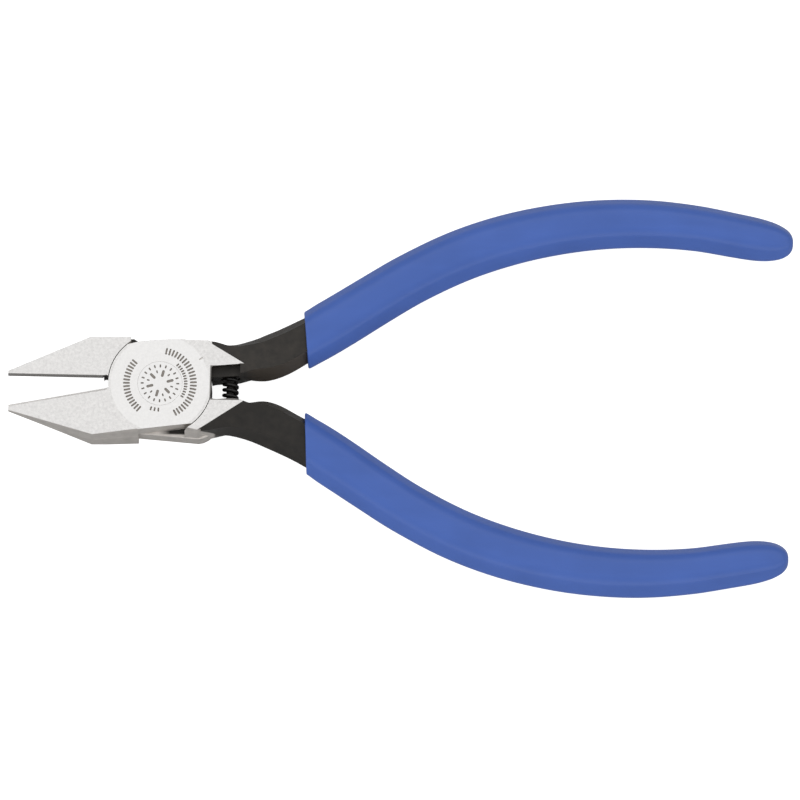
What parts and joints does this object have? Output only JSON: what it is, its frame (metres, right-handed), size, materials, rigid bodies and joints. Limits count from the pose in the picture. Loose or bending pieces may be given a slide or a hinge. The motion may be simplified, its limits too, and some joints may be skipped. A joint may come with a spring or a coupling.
{
  "type": "diagonal cutting pliers",
  "caption": "Small diagonal cutting pliers with tapered flush-faced jaws, a riveted lap joint, a coil return spring and dipped blue handle sleeves.",
  "frame": {"origin": "the rivet's axis at the back face of the joint, which is the face the pliers lie on", "axes": "+X from the jaws towards the handles, +Y towards the upper handle, +Z out of the front face"},
  "size_m": [0.132, 0.0688, 0.008],
  "materials": {
    "forged_steel": "ground bright head, black oxide handle roots",
    "ground_steel": "ground bright",
    "spring_steel": "oiled black spring wire",
    "blue_plastisol": "satin dipped plastisol"
  },
  "bodies": {
    "back_body": {"back_half": "forged_steel", "pivot_rivet": "ground_steel", "return_spring": "spring_steel", "lower_grip": "blue_plastisol"},
    "front_body": {"front_half": "forged_steel", "upper_grip": "blue_plastisol"}
  },
  "joints": [
    {"name": "pivot", "type": "hinge", "parent": "back_body", "child": "front_body", "pos_m": [0, 0, 0.004], "axis": [0, 0, -1], "range_deg": [-7, 11], "stiffness_Nm_per_rad": 0.4, "deforming": ["return_spring"]}
  ]
}
